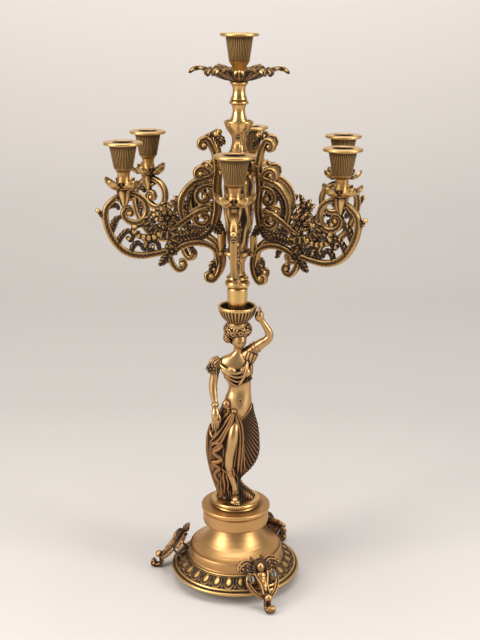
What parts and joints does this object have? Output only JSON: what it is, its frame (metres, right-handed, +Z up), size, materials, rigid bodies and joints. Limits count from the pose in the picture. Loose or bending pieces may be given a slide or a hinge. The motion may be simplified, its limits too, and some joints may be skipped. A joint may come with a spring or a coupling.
{
  "type": "tabletop candelabra",
  "caption": "Brass tabletop candelabra: a robed lady on a stepped round base bears a column with swivelling openwork scroll arms, candle cups and a leafy drip pan at the top.",
  "frame": {"origin": "on the table, on the column's axis, midway under the whole object", "axes": "+Z up the column, -Y towards the front that the lady faces, +X to a viewer's right"},
  "size_m": [0.3171, 0.3306, 0.678],
  "materials": {
    "polished_brass": "polished, lightly brushed",
    "satin_brass": "satin, with patina in the grooves",
    "antique_brass": "antiqued: dark brown recesses and rubbed bright edges",
    "steel": "plain machined"
  },
  "bodies": {
    "base": {"base_plate": "satin_brass", "base_dome": "polished_brass", "base_drum": "satin_brass", "figure_plinth": "polished_brass", "tie_rod": "steel", "tie_rod_washer": "steel", "tie_rod_nut": "steel", "lady_figure": "antique_brass", "head_bowl": "satin_brass", "bowl_stud": "steel", "foot_1": "antique_brass", "foot_1_screw_left": "steel", "foot_1_screw_right": "steel", "foot_2": "antique_brass", "foot_2_screw_left": "steel", "foot_2_screw_right": "steel", "foot_3": "antique_brass", "foot_3_screw_left": "steel", "foot_3_screw_right": "steel"},
    "branch": {"column_sleeve": "polished_brass", "column_collar": "satin_brass", "hub_figure": "antique_brass", "upper_hanger_ring": "antique_brass", "lower_hanger_ring": "antique_brass", "goblet": "polished_brass", "lower_spool": "polished_brass", "spindle_ring": "polished_brass", "upper_spool": "polished_brass", "pan_ring": "polished_brass", "spindle_rod": "steel", "drip_pan": "antique_brass", "top_cup": "satin_brass"},
    "arm_1": {"arm_1_bracket": "antique_brass", "arm_1_leaf_collar": "antique_brass", "arm_1_cup": "satin_brass", "arm_1_cup_screw": "steel"},
    "arm_2": {"arm_2_bracket": "antique_brass", "arm_2_leaf_collar": "antique_brass", "arm_2_cup": "satin_brass", "arm_2_cup_screw": "steel"},
    "arm_3": {"arm_3_bracket": "antique_brass", "arm_3_leaf_collar": "antique_brass", "arm_3_cup": "satin_brass", "arm_3_cup_screw": "steel"},
    "arm_4": {"arm_4_bracket": "antique_brass", "arm_4_leaf_collar": "antique_brass", "arm_4_cup": "satin_brass", "arm_4_cup_screw": "steel"},
    "arm_5": {"arm_5_bracket": "antique_brass", "arm_5_leaf_collar": "antique_brass", "arm_5_cup": "satin_brass", "arm_5_cup_screw": "steel"},
    "arm_6": {"arm_6_bracket": "antique_brass", "arm_6_leaf_collar": "antique_brass", "arm_6_cup": "satin_brass", "arm_6_cup_screw": "steel"}
  },
  "joints": [
    {"name": "branch_turn", "type": "hinge", "parent": "base", "child": "branch", "pos_m": [0, 0, 0.36], "axis": [0, 0, 1], "continuous": true},
    {"name": "arm_1_swivel", "type": "hinge", "parent": "branch", "child": "arm_1", "pos_m": [-0.00055, -0.02099, 0.5228], "axis": [0, 0, 1], "range_deg": [-12, 12]},
    {"name": "arm_2_swivel", "type": "hinge", "parent": "branch", "child": "arm_2", "pos_m": [0.01781, -0.01113, 0.5228], "axis": [0, 0, 1], "range_deg": [-12, 12]},
    {"name": "arm_3_swivel", "type": "hinge", "parent": "branch", "child": "arm_3", "pos_m": [0.01961, 0.00753, 0.5228], "axis": [0, 0, 1], "range_deg": [-12, 12]},
    {"name": "arm_4_swivel", "type": "hinge", "parent": "branch", "child": "arm_4", "pos_m": [0.00238, 0.02087, 0.5228], "axis": [0, 0, 1], "range_deg": [-12, 12]},
    {"name": "arm_5_swivel", "type": "hinge", "parent": "branch", "child": "arm_5", "pos_m": [-0.01741, 0.01174, 0.5228], "axis": [0, 0, 1], "range_deg": [-12, 12]},
    {"name": "arm_6_swivel", "type": "hinge", "parent": "branch", "child": "arm_6", "pos_m": [-0.02028, -0.00543, 0.5228], "axis": [0, 0, 1], "range_deg": [-12, 12]}
  ]
}
